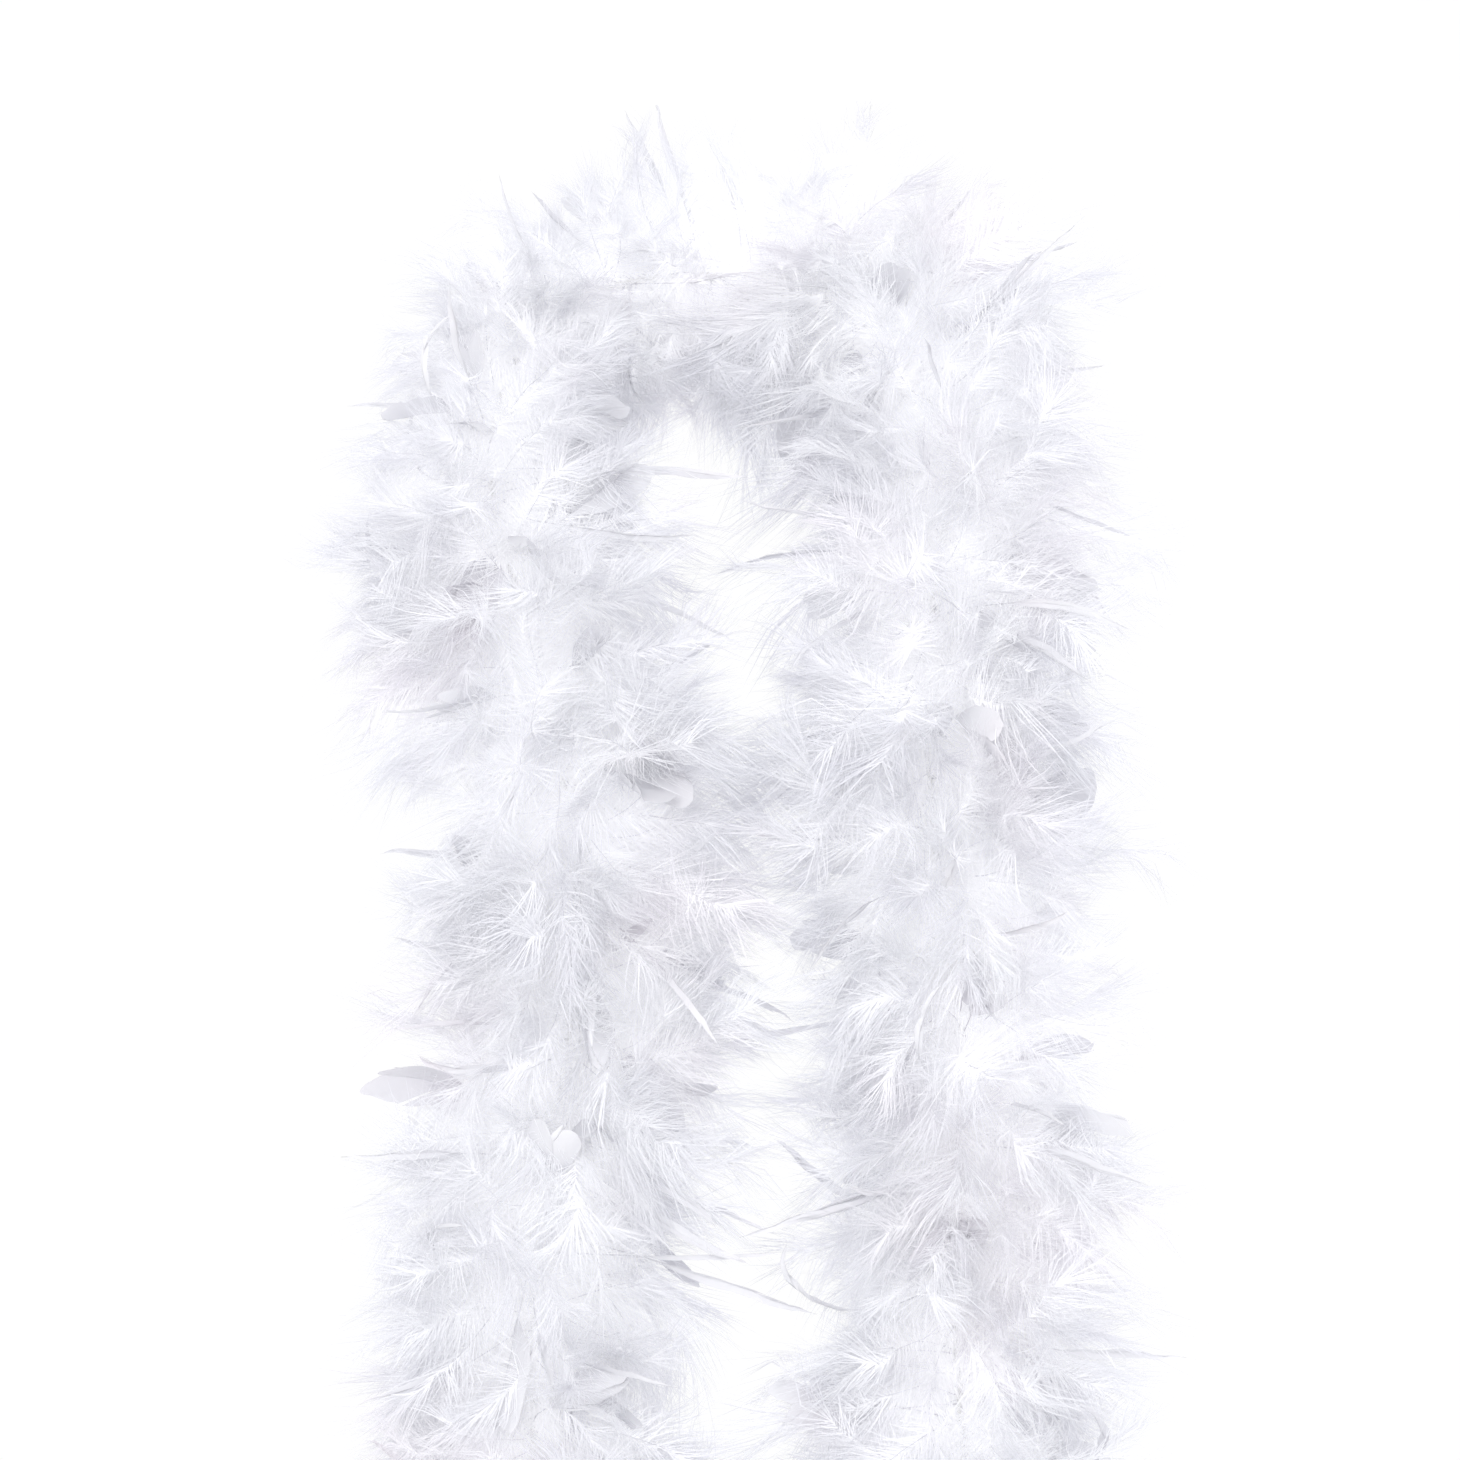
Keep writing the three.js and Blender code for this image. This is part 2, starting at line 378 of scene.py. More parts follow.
def cord_material(name, colour, twist):
    """Spun fibres that run along the cord, from the piece's own UV map: U goes round and V along."""
    material, graph, shader = new_material(name)
    place = graph.add("ShaderNodeUVMap", {"uv_map": "cord"})
    fibres = graph.add(
        "ShaderNodeMapping", None, {"Vector": place, "Rotation": (0, 0, twist), "Scale": (9.0, 400.0, 1.0)}
    )
    noise = graph.add("ShaderNodeTexNoise", None, {"Vector": fibres, "Scale": 1.0, "Detail": 4.0})
    light = tuple(colour)
    dark = tuple(0.78 * c for c in colour)
    shade = graph.add(
        "ShaderNodeValToRGB", {"stops": ((0.25, dark), (0.7, light))}, {0: noise}
    )
    bump = graph.add(
        "ShaderNodeBump", None, {"Strength": 0.5, "Distance": 0.0002, "Height": noise}
    )
    links = material.node_tree.links
    links.new(shade.socket, shader.inputs["Base Color"])
    links.new((0.8 + 0.15 * noise).socket, shader.inputs["Roughness"])
    links.new(bump.socket, shader.inputs["Normal"])
    return material


# ---------------------------------------------------------------- feathers


class Plumage:
    """Quills, barbs and vanes gathered into one feather's mesh."""

    def __init__(self):
        self.points, self.faces, self.barb, self.vane, self.count = [], [], [], [], 0

    def _take(self, points, faces, barb, vane):
        self.points.append(points)
        self.faces += (np.asarray(faces) + self.count).tolist()
        self.barb.append(barb)
        self.vane.append(np.full(len(points), float(vane)))
        self.count += len(points)

    def barbs(self, root, middle, tip, flat, width):
        """One narrow bent strip for each row, which runs to a point."""
        edge = flat * width[:, None] / 2
        rows = np.stack([root - edge, root + edge, middle - edge * 0.8, middle + edge * 0.8, tip], axis=1)
        first = 5 * np.arange(len(root))[:, None]
        self._take(rows.reshape(-1, 3), first + [0, 1, 3, 2], np.tile([0, 0, 0.5, 0.5, 1.0], len(root)), 0)
        self.faces += (first + [2, 3, 4] + self.count - 5 * len(root)).tolist()

    def shaft(self, line, thickness):
        """A three-sided quill along the line that tapers to its tip."""
        n = len(line)
        taper = thickness / 2 * (1 - 0.8 * np.linspace(0, 1, n))[:, None]
        turns = np.arange(3) * 2 * math.pi / 3
        rings = [line + np.array([math.cos(a), math.sin(a), 0]) * taper for a in turns]
        ring = np.arange(n - 1)
        faces = []
        for side in range(3):
            a, b = side * n + ring, (side + 1) % 3 * n + ring
            faces += np.stack([a, b, b + 1, a + 1], axis=1).tolist()
        self._take(np.vstack(rings), faces, np.zeros(3 * n), 1)

    def panel(self, root, middle, tip):
        """A smooth piece of vane that hangs together from its roots to its tips."""
        n = len(root)
        row = np.arange(n - 1)
        faces = []
        for column in (0, n):
            a = column + row
            faces += np.stack([a, a + 1, a + n + 1, a + n], axis=1).tolist()
        self._take(np.vstack([root, middle, tip]), faces, np.repeat([0, 0.5, 1.0], n), 1)

    def mesh(self, name, reach):
        points = np.vstack(self.points)
        mesh = bpy.data.meshes.new(name)
        mesh.from_pydata(points.tolist(), [], self.faces)
        mesh.polygons.foreach_set("use_smooth", [True] * len(self.faces))
        along = np.linalg.norm(points, axis=1) / reach
        labels = {"along": along, "barb": np.concatenate(self.barb), "vane": np.concatenate(self.vane)}
        for label, values in labels.items():
            mesh.attributes.new(label, "FLOAT", "POINT").data.foreach_set("value", values)
        return mesh


def wander(rng, share, waves, strength):
    """A smooth random value along a feather, so that neighbouring barbs lie much the same way."""
    total = np.zeros_like(share)
    for wave in range(1, waves + 1):
        total += rng.normal() * np.sin(2 * math.pi * (wave * share + rng.uniform())) / wave**0.5
    return strength * total


def in_locks(rng, tips, locks, hold):
    """Draws the tips of neighbouring barbs together, so that they end in pointed locks."""
    edges = np.sort(rng.integers(0, len(tips), locks))
    lock = np.searchsorted(edges, np.arange(len(tips)))
    for index in np.unique(lock):
        own = lock == index
        tips[own] += hold * (tips[own].mean(axis=0) - tips[own])
    return tips


def unit(rows):
    return rows / np.linalg.norm(rows, axis=1, keepdims=True)


class Spine:
    """A quill's line from the origin up +Z, which curls towards +Y."""

    def __init__(self, length, curl, sway, steps=9):
        self.share = np.linspace(0, 1, steps)
        heading = curl * self.share**1.4
        self.tangent = unit(np.stack([sway * self.share, np.sin(heading), np.cos(heading)], axis=1))
        moves = (self.tangent[1:] + self.tangent[:-1]) / 2 * length / (steps - 1)
        self.line = np.vstack([np.zeros(3), np.cumsum(moves, axis=0)])

    def at(self, share):
        """The place, the way ahead, the way across and the way off the vane at those shares."""
        place, ahead = (
            np.stack([np.interp(share, self.share, c) for c in rows.T], axis=1)
            for rows in (self.line, self.tangent)
        )
        ahead = unit(ahead)
        across = unit(np.cross(ahead, [0, -1, 0]))
        return place, ahead, across, np.cross(across, ahead)


def add_fluff(plumage, rng, spine, side, kind):
    """Loose barbs on one side of the quill, below any vane."""
    low, high, n = kind["bare"], kind["vane_from"], kind["fluff"]
    inner = ((np.arange(n) + rng.uniform(0, 0.8, n)) / n) ** 0.85
    share = low + (high - low) * inner
    root, ahead, across, face = spine.at(share)
    opening = np.radians(76 - 46 * share) + rng.normal(0, 0.16, n) + wander(rng, share, 4, 0.16)
    lift = wander(rng, share, 5, 0.45) + rng.normal(0, 0.30, n)
    size = kind["fluff_length"] * (0.5 + 0.5 * np.sin(math.pi * (0.12 + 0.62 * inner)))
    size = (size * rng.uniform(0.65, 1.25, n))[:, None]
    out = side * across * np.cos(lift)[:, None] + face * np.sin(lift)[:, None]
    aim = ahead * np.cos(opening)[:, None] + out * np.sin(opening)[:, None]
    curve = 0.30 * ahead + rng.normal(0, 0.20, (n, 3)) + wander(rng, share, 4, 0.16)[:, None] * face
    tip = in_locks(rng, root + (aim + curve) * size, kind["locks"], 0.5)
    middle = root + (aim * 0.5 + curve * 0.16) * size
    flat = unit(np.cross(unit(rng.normal(size=(n, 3))), aim))
    plumage.barbs(root, middle, tip, flat, np.full(n, kind["barb_width"]))


def add_vane(plumage, rng, spine, side, kind):
    """A smooth vane of a few panels, which stand a little apart where the barbs have come unhooked."""
    rows = kind["vane"]
    cuts = np.sort(rng.choice(np.arange(2, rows - 1), kind["splits"], replace=False))
    for first, last in zip([0, *cuts], [*cuts, rows]):
        inner = np.arange(first, last + 1) / rows
        share = kind["vane_from"] + (0.98 - kind["vane_from"]) * inner
        root, ahead, across, face = spine.at(share)
        opening = np.radians(kind["vane_angle"]) * (1 - 0.6 * inner) + rng.normal(0, 0.05)
        lift = kind["cup"] + rng.normal(0, 0.09)
        outline = 0.03 + 2.5 * inner**0.5 * (1 - inner) ** 0.95
        size = (kind["vane_width"] * outline / np.sin(opening))[:, None]
        out = side * across * math.cos(lift) + face * math.sin(lift)
        aim = ahead * np.cos(opening)[:, None] + out * np.sin(opening)[:, None]
        curve = 0.12 * ahead + 0.16 * face
        tip = root + (aim + curve) * size * rng.uniform(0.97, 1.03, (len(inner), 1))
        plumage.panel(root, root + (aim * 0.5 + curve * 0.25) * size, tip)


def feather_mesh(name, rng, kind):
    """One feather on the origin and up +Z: fluff below, and a flat vane above if it has one."""
    spine = Spine(kind["length"], rng.normal() * kind["curl"], rng.normal() * 0.25)
    plumage = Plumage()
    plumage.shaft(spine.line, kind["quill"])
    for side in (-1, 1):
        add_fluff(plumage, rng, spine, side, kind)
        if kind["vane"]:
            add_vane(plumage, rng, spine, side, kind)
    return plumage.mesh(name, kind["length"])


# The kinds of feather, each made in so many copies. Lengths are in metres, vane_angle is in
# degrees, and curl and cup are in radians. bare and vane_from are shares of the quill's length.
# fluff, locks, vane and splits count loose barbs, their pointed locks, the rows of the vane and
# the breaks in it, on each side. lean and together are shares of the whole boa's lean and tufts.
KINDS = {
    "down": {
        "copies": 10,
        "length": 0.077,
        "curl": 0.9,
        "quill": 0.0007,
        "bare": 0.04,
        "lean": 1.0,
        "together": 1.0,
        "vane_from": 1.0,
        "fluff": 150,
        "locks": 22,
        "fluff_length": 0.031,
        "barb_width": 0.00034,
        "vane": 0,
    },
    "flat": {
        "copies": 8,
        "length": 0.078,
        "curl": 0.7,
        "quill": 0.0009,
        "bare": 0.05,
        "lean": 1.2,
        "together": 0.8,
        "vane_from": 0.44,
        "fluff": 60,
        "locks": 10,
        "fluff_length": 0.024,
        "barb_width": 0.00034,
        "vane": 12,
        "splits": 1,
        "vane_width": 0.0112,
        "vane_angle": 52,
        "cup": 0.30,
    },
    "stray": {
        "copies": 6,
        "length": 0.112,
        "curl": 1.5,
        "quill": 0.0010,
        "bare": 0.05,
        "lean": 0.6,
        "together": 0.3,
        "vane_from": 0.45,
        "fluff": 40,
        "locks": 8,
        "fluff_length": 0.014,
        "barb_width": 0.0003,
        "vane": 14,
        "splits": 3,
        "vane_width": 0.0024,
        "vane_angle": 34,
        "cup": 0.35,
    },
}


def make_kinds(settings):
    """One hidden collection of ready feathers for each kind."""
    collections = {}
    for order, (label, kind) in enumerate(KINDS.items()):
        collection = bpy.data.collections.new(f"kinds_{label}")
        for copy in range(kind["copies"]):
            rng = np.random.default_rng([settings.seed, order, copy])
            name = f"kind_{label}_{copy:02d}"
            collection.objects.link(bpy.data.objects.new(name, feather_mesh(name, rng, kind)))
        collections[label] = collection
    return collections


def drop_kinds(collections):
    """Removes the ready feathers once every section has its own."""
    for collection in collections.values():
        for piece in list(collection.objects):
            mesh = piece.data
            bpy.data.objects.remove(piece)
            bpy.data.meshes.remove(mesh)
        bpy.data.collections.remove(collection)


def socket_on(tree, name, kind, value=None):
    """Adds one named input to a tree."""
    socket = tree.interface.new_socket(name, in_out="INPUT", socket_type=f"NodeSocket{kind}")
    if value is not None:
        socket.default_value = value


def random_value(graph, low, high, seed, kind="FLOAT"):
    return graph.add(
        "FunctionNodeRandomValue", {"data_type": kind}, {"Min": low, "Max": high, "Seed": seed}
    )


def layer_tree():
    """Feathers of one kind that stand out of a line, each turned, leaned and sized by chance."""
    tree = bpy.data.node_groups.new("feathers_on_a_line", "GeometryNodeTree")
    graph = Graph(tree)
    for name, kind, value in (
        ("Line", "Geometry", None),
        ("Kinds", "Collection", None),
        ("Feathers", "Int", 40),
        ("Smallest", "Float", 0.8),
        ("Largest", "Float", 1.2),
        ("Lean", "Float", 0.5),
        ("Fall", "Float", 0.2),
        ("Spread", "Float", 0.002),
        ("Tufts", "Float", 2.0),
        ("Tuft scale", "Float", 30.0),
        ("Tuft sizes", "Float", 0.8),
        ("Neck middle", "Vector", NECK_MIDDLE),
        ("Seed", "Int", 0),
    ):
        socket_on(tree, name, kind, value)
    tree.interface.new_socket("Feathers", in_out="OUTPUT", socket_type="NodeSocketGeometry")
    group = tree.nodes.new("NodeGroupInput")
    given = {s.name: Value(graph, s) for s in group.outputs if s.name}
    seed = given["Seed"]

    points = graph.node(
        "GeometryNodeCurveToPoints", {"mode": "COUNT"}, {"Curve": given["Line"], "Count": given["Feathers"]}
    )
    tangent, normal = (Value(graph, points.outputs[name]) for name in ("Tangent", "Normal"))
    turn = random_value(graph, 0.0, 2 * math.pi, seed)
    outwards = graph.add(
        "ShaderNodeVectorRotate",
        {"rotation_type": "AXIS_ANGLE"},
        {"Vector": normal, "Center": (0, 0, 0), "Axis": tangent, "Angle": turn},
    )
    lean = random_value(graph, -1.0, 1.0, seed + 1) * given["Lean"]
    fall = graph.add("ShaderNodeCombineXYZ", None, {"Z": given["Fall"] * -1.0})
    here = graph.add("GeometryNodeInputPosition")
    tufts = graph.node(
        "ShaderNodeTexNoise", None, {"Vector": here, "Scale": given["Tuft scale"], "Detail": 0.0}
    )
    tuft_size, tuft_way = (Value(graph, tufts.outputs[name]) for name in ("Fac", "Color"))
    together = (tuft_way - (0.5, 0.5, 0.5)) * given["Tufts"]
    aim = outwards + tangent * lean + fall + together
    # behind the neck, feathers turn aside from it
    inwards = graph.maths("NORMALIZE", (given["Neck middle"] - here) * (1.0, 1.0, 0.0))
    forward = graph.add("ShaderNodeSeparateXYZ", None, {"Vector": here}, out="Y")
    behind = graph.add(
        "ShaderNodeMapRange",
        None,
        {"Value": forward, "From Min": BEHIND_NECK[0], "From Max": BEHIND_NECK[1]},
    )
    facing = graph.add(
        "ShaderNodeVectorMath", {"operation": "DOT_PRODUCT"}, {0: aim, 1: inwards}, out="Value"
    )
    aim = aim - inwards * (graph.maths("MAXIMUM", facing, 0.0) * behind * 0.5)
    slide = tangent * (random_value(graph, -1.0, 1.0, seed + 2) * given["Spread"])
    # all these are read before the points move
    kept = Value(graph, points.outputs["Points"])
    for name, value in (("aim", aim), ("slide", slide), ("root", here)):
        kept = graph.store(kept, "POINT", "FLOAT_VECTOR", name, value)
    kept = graph.store(kept, "POINT", "FLOAT", "tuft", tuft_size)
    aim, slide = (graph.stored("FLOAT_VECTOR", name) for name in ("aim", "slide"))
    moved = graph.add("GeometryNodeSetPosition", None, {"Geometry": kept, "Offset": slide})
    upright = graph.add(
        "FunctionNodeAlignRotationToVector", {"axis": "Z", "pivot_axis": "AUTO"}, {"Vector": aim}
    )
    spin = graph.add(
        "FunctionNodeAxisAngleToRotation",
        None,
        {"Axis": (0, 0, 1), "Angle": random_value(graph, 0.0, 2 * math.pi, seed + 3)},
    )
    turned = graph.add(
        "FunctionNodeRotateRotation", {"rotation_space": "LOCAL"}, {"Rotation": upright, "Rotate By": spin}
    )
    size = random_value(graph, given["Smallest"], given["Largest"], seed + 4)
    size = size * (1 + (graph.stored("FLOAT", "tuft") - 0.5) * given["Tuft sizes"])
    shelf = graph.add(
        "GeometryNodeCollectionInfo",
        None,
        {"Collection": given["Kinds"], "Separate Children": True, "Reset Children": True},
    )
    feathers = graph.add(
        "GeometryNodeInstanceOnPoints",
        None,
        {
            "Points": moved,
            "Instance": shelf,
            "Pick Instance": True,
            "Instance Index": random_value(graph, 0, 999, seed + 5, "INT"),
            "Rotation": turned,
            "Scale": size,
        },
    )
    tinted = graph.store(feathers, "INSTANCE", "FLOAT", "tint", random_value(graph, 0.0, 1.0, seed + 6))
    out = tree.nodes.new("NodeGroupOutput")
    tree.links.new(tinted.socket, out.inputs[0])
    return tree


def section_tree(layer):
    """One section of the boa: every kind's layer on the same line, then blown about and draped."""
    tree = bpy.data.node_groups.new("boa_section", "GeometryNodeTree")
    graph = Graph(tree)
    socket_on(tree, "Line", "Geometry")
    tree.interface.new_socket("Section", in_out="OUTPUT", socket_type="NodeSocketGeometry")
    for label in KINDS:
        socket_on(tree, f"{label} kinds", "Collection")
        socket_on(tree, f"{label} feathers", "Int", 10)
    for name, kind, value in (
        ("Size", "Float", 1.0),
        ("Lean", "Float", 0.6),
        ("Fall", "Float", 0.2),
        ("Seed", "Int", 0),
        ("Ruffle", "Float", 0.010),
        ("Droop", "Float", 0.006),
        ("Tufts", "Float", 2.0),
        ("Depth", "Float", 0.85),
        ("Neck middle", "Vector", NECK_MIDDLE),
        ("Neck radius", "Float", NECK_RADIUS),
        ("Neck foot", "Float", NECK_FOOT),
        ("Lowest", "Vector", (-1.0, -1.0, -1.0)),
        ("Highest", "Vector", (1.0, 1.0, 1.0)),
        ("Feather", "Material", None),
    ):
        socket_on(tree, name, kind, value)
    group = tree.nodes.new("NodeGroupInput")
    given = {s.name: Value(graph, s) for s in group.outputs if s.name}

    joined = tree.nodes.new("GeometryNodeJoinGeometry")
    for order, label in enumerate(KINDS):
        made = graph.add(
            "GeometryNodeGroup",
            {"node_tree": layer},
            {
                "Line": given["Line"],
                "Kinds": given[f"{label} kinds"],
                "Feathers": given[f"{label} feathers"],
                "Smallest": given["Size"] * SMALLEST_FEATHER,
                "Largest": given["Size"] * LARGEST_FEATHER,
                "Lean": given["Lean"] * KINDS[label]["lean"],
                "Fall": given["Fall"],
                "Spread": SPREAD,
                "Tufts": given["Tufts"] * KINDS[label]["together"],
                "Tuft scale": TUFT_SCALE,
                "Tuft sizes": TUFT_SIZES,
                "Neck middle": given["Neck middle"],
                "Seed": given["Seed"] + 50 * order,
            },
        )
        tree.links.new(made.socket, joined.inputs[0])
    solid = graph.add("GeometryNodeRealizeInstances", None, {0: Value(graph, joined.outputs[0])})

    place = graph.add("GeometryNodeInputPosition")
    along, vane = (graph.stored("FLOAT", name) for name in ("along", "vane"))
    give = along * (1 - 0.6 * vane)
    offset = None
    for scale, share in GUSTS:
        noise = graph.add(
            "ShaderNodeTexNoise",
            {"noise_dimensions": "3D"},
            {"Vector": place, "Scale": scale, "Detail": 0.0},
            out="Color",
        )
        push = (noise - (0.5, 0.5, 0.5)) * (given["Ruffle"] * (3.0 * share)) * give
        offset = push if offset is None else offset + push
    drop = graph.add("ShaderNodeCombineXYZ", None, {"Z": given["Droop"] * -1.0 * along * along})
    blown = graph.add("GeometryNodeSetPosition", None, {"Geometry": solid, "Offset": offset + drop})
    root = graph.stored("FLOAT_VECTOR", "root")
    deep = graph.add("ShaderNodeCombineXYZ", None, {"Y": given["Depth"] - 1.0})
    blown = graph.add("GeometryNodeSetPosition", None, {"Geometry": blown, "Offset": (place - root) * deep})

    # feathers that would stand inside the neck lie against it
    flat = (place - given["Neck middle"]) * (1.0, 1.0, 0.0)
    distance = graph.maths("LENGTH", flat)
    inside = graph.maths("MAXIMUM", given["Neck radius"] - distance, 0.0)
    height = graph.add("ShaderNodeSeparateXYZ", None, {"Vector": place}, out="Z")
    foot = given["Neck foot"]
    above = graph.add(
        "ShaderNodeMapRange",
        {"interpolation_type": "SMOOTHSTEP"},
        {"Value": height, "From Min": foot, "From Max": foot + NECK_FOOT_ROUNDING},
    )
    aside = graph.maths("NORMALIZE", flat) * (inside * above)
    pressed = graph.add("GeometryNodeSetPosition", None, {"Geometry": blown, "Offset": aside})

    # the longest tips bend back where they would stand out too far
    held = graph.maths("MAXIMUM", graph.maths("MINIMUM", place, given["Highest"]), given["Lowest"])
    held = graph.add("GeometryNodeSetPosition", None, {"Geometry": pressed, "Position": held})

    finished = graph.add("GeometryNodeSetMaterial", None, {"Geometry": held, "Material": given["Feather"]})
    out = tree.nodes.new("NodeGroupOutput")
    tree.links.new(finished.socket, out.inputs[0])
    return tree


def line_object(name, points):
    """A curve object through the points."""
    curve = bpy.data.curves.new(name, "CURVE")
    curve.dimensions = "3D"
    spline = curve.splines.new("POLY")
    spline.points.add(len(points) - 1)
    for point, place in zip(spline.points, points):
        point.co = (*place, 1)
    piece = bpy.data.objects.new(name, curve)
    bpy.context.collection.objects.link(piece)
    return piece


def grown(name, line, tree, values):
    """The tree's result on that line as a plain mesh object, with the line removed."""
    source = line_object(name + "_line", line)
    modifier = source.modifiers.new(tree.name, "NODES")
    modifier.node_group = tree
    sockets = {s.name: s.identifier for s in tree.interface.items_tree if s.in_out == "INPUT"}
    for key, value in values.items():
        modifier[sockets[key]] = value
    bpy.context.view_layer.update()
    graph = bpy.context.evaluated_depsgraph_get()
    mesh = bpy.data.meshes.new_from_object(source.evaluated_get(graph), depsgraph=graph)
    if not mesh.polygons:
        raise RuntimeError(f"{name} came out empty")
    source.modifiers.remove(modifier)
    curve = source.data
    bpy.data.objects.remove(source)
    bpy.data.curves.remove(curve)
    mesh.name = name
    for extra in ("aim", "slide", "root", "tuft"):
        if extra in mesh.attributes:
            mesh.attributes.remove(mesh.attributes[extra])
    piece = bpy.data.objects.new(name, mesh)
    bpy.context.collection.objects.link(piece)
    return piece


# ---------------------------------------------------------------- cord


def frames_along(line):
    """Two directions across a line at each of its points, carried along without twisting."""
    tangent = unit(np.gradient(line, axis=0))
    first = np.cross(tangent[0], [0.3, -0.5, 0.8])
    sides = [first / np.linalg.norm(first)]
    for ahead in tangent[1:]:
        side = sides[-1] - ahead * (sides[-1] @ ahead)
        sides.append(side / np.linalg.norm(side))
    side = np.array(sides)
    return side, np.cross(tangent, side)


def tube(line, radius, sides, closed=False):
    """(points, faces, uv of each face corner) of a tube along a line, closed at both ends."""
    across, over = frames_along(line)
    turn = np.arange(sides) * 2 * math.pi / sides
    ring = across[:, None] * np.cos(turn)[None, :, None] + over[:, None] * np.sin(turn)[None, :, None]
    points = (line[:, None] + radius * ring).reshape(-1, 3)
    steps = np.concatenate([[0], np.cumsum(np.linalg.norm(np.diff(line, axis=0), axis=1))])
    faces, uvs = [], []
    rows = len(line) if closed else len(line) - 1
    for i in range(rows):
        j = (i + 1) % len(line)
        for s in range(sides):
            e = (s + 1) % sides
            faces.append((i * sides + s, i * sides + e, j * sides + e, j * sides + s))
            v0, v1 = steps[i], steps[i] + (steps[1] - steps[0])
            uvs += [(s / sides, v0), ((s + 1) / sides, v0), ((s + 1) / sides, v1), (s / sides, v1)]
    if not closed:
        faces += [tuple(reversed(range(sides))), tuple((rows * sides) + s for s in range(sides))]
        uvs += [(0, 0)] * (2 * sides)
    return points, faces, uvs


def mesh_piece(name, parts, material):
    """One object from several (points, faces, uvs)."""
    points, faces, uvs, first = [], [], [], 0
    for part_points, part_faces, part_uvs in parts:
        points.append(part_points)
        faces += [tuple(first + i for i in face) for face in part_faces]
        uvs += part_uvs
        first += len(part_points)
    mesh = bpy.data.meshes.new(name)
    mesh.from_pydata(np.vstack(points).tolist(), [], faces)
    layer = mesh.uv_layers.new(name="cord")
    layer.data.foreach_set("uv", np.array(uvs, float).ravel())
    mesh.polygons.foreach_set("use_smooth", [True] * len(faces))
    mesh.materials.append(material)
    mesh.update()
    piece = bpy.data.objects.new(name, mesh)
    bpy.context.collection.objects.link(piece)
    return piece


def plies(line, distances, diameter, turn_length, sides=8):
    """Two plies twisted round each other along a line."""
    across, over = frames_along(line)
    radius = PLY_RADIUS * diameter
    for start in (0, math.pi):
        angle = (start + 2 * math.pi * distances / turn_length)[:, None]
        middle = line + (diameter / 2 - radius) * (across * np.cos(angle) + over * np.sin(angle))
        yield tube(middle, radius, sides)


def cord_stretch(name, start, end, settings, material):
    """A stretch of the twisted core between two distances from the nape."""
    step = settings.ply_turn / 10
    distances = np.linspace(start, end, max(8, round(abs(end - start) / step)))
    line = ROUTE.at(distances)
    piece = mesh_piece(name, plies(line, distances, settings.cord_diameter, settings.ply_turn), material)
    return piece, line


def declare_cord(piece, line, settings):
    """Works out where a stretch starts and how long it is, and keeps neither."""
    tuple(line[0])
    float(np.linalg.norm(np.diff(line, axis=0), axis=1).sum())


# ---------------------------------------------------------------- settings


class BoaSizes(bpy.types.PropertyGroup):
    """Sizes that a maker would change."""

    cord_diameter: FloatProperty(
        name="Cord diameter", description="Across both plies", default=0.0036, unit="LENGTH"
    )
    ply_turn: FloatProperty(
        name="Ply turn", description="Cord that one turn of the plies takes", default=0.014, unit="LENGTH"
    )
    down: IntProperty(name="Down plumes", description="In one section", default=70)
    flat: IntProperty(name="Flat feathers", description="In one section", default=6)
    stray: IntProperty(name="Stray quills", description="In one section", default=7)
    seed: IntProperty(name="Seed", description="Changes every feather's place", default=7)
    lean: FloatProperty(name="Lean", description="How far feathers lean along the cord", default=0.7)
    tufts: FloatProperty(name="Tufts", description="How much neighbours lean together", default=2.0)
    depth: FloatProperty(
        name="Depth", description="Thickness beside width", default=0.78, subtype="FACTOR", min=0.2, max=1
    )
    ruffle: FloatProperty(
        name="Ruffle", description="How far the air has bent the barbs", default=0.009, unit="LENGTH"
    )
    droop: FloatProperty(
        name="Droop", description="How far a feather's tip hangs down", default=0.006, unit="LENGTH"
    )


def colour_property(name, description, value):
    return FloatVectorProperty(
        name=name, description=description, default=value, subtype="COLOR", size=3, min=0, max=1
    )


class BoaColours(bpy.types.PropertyGroup):
    """Colours of the feathers, cord and stage."""

    light: colour_property("Light feathers", "Tips of the whitest feathers", (0.80, 0.805, 0.845))
    shade: colour_property("Cool feathers", "Tips of the coolest feathers", (0.765, 0.765, 0.82))
    light_blade: colour_property("Light blades", "The whitest flat vanes", (0.80, 0.80, 0.83))
    dark_blade: colour_property("Dark blades", "The greyest flat vanes", (0.70, 0.70, 0.74))
    blush: colour_property("Blush", "A faint warm patch here and there", (0.86, 0.785, 0.835))
    # painted light: the roots' colour is lighter than the tips' to stand in for light scattered deep in the
    # down, and it also colours the painted glow
    root: colour_property("Roots", "Down near the quill", (0.93, 0.93, 0.945))
    cord: colour_property("Cord", "The cotton core", (0.93, 0.925, 0.91))
    thread: colour_property("Thread", "The whipping", (0.92, 0.91, 0.89))
    floor: colour_property("Floor", "The floor under the boa", (0.93, 0.93, 0.93))
    # painted glow: the emission strength of the down near the quills
    inner_light: FloatProperty(
        name="Inner light", description="Scattered light deep in the down", default=0.215, subtype="FACTOR"
    )
    blush_share: FloatProperty(
        name="Blush share", description="How strongly the blush shows", default=0.35, subtype="FACTOR"
    )


# ---------------------------------------------------------------- operators


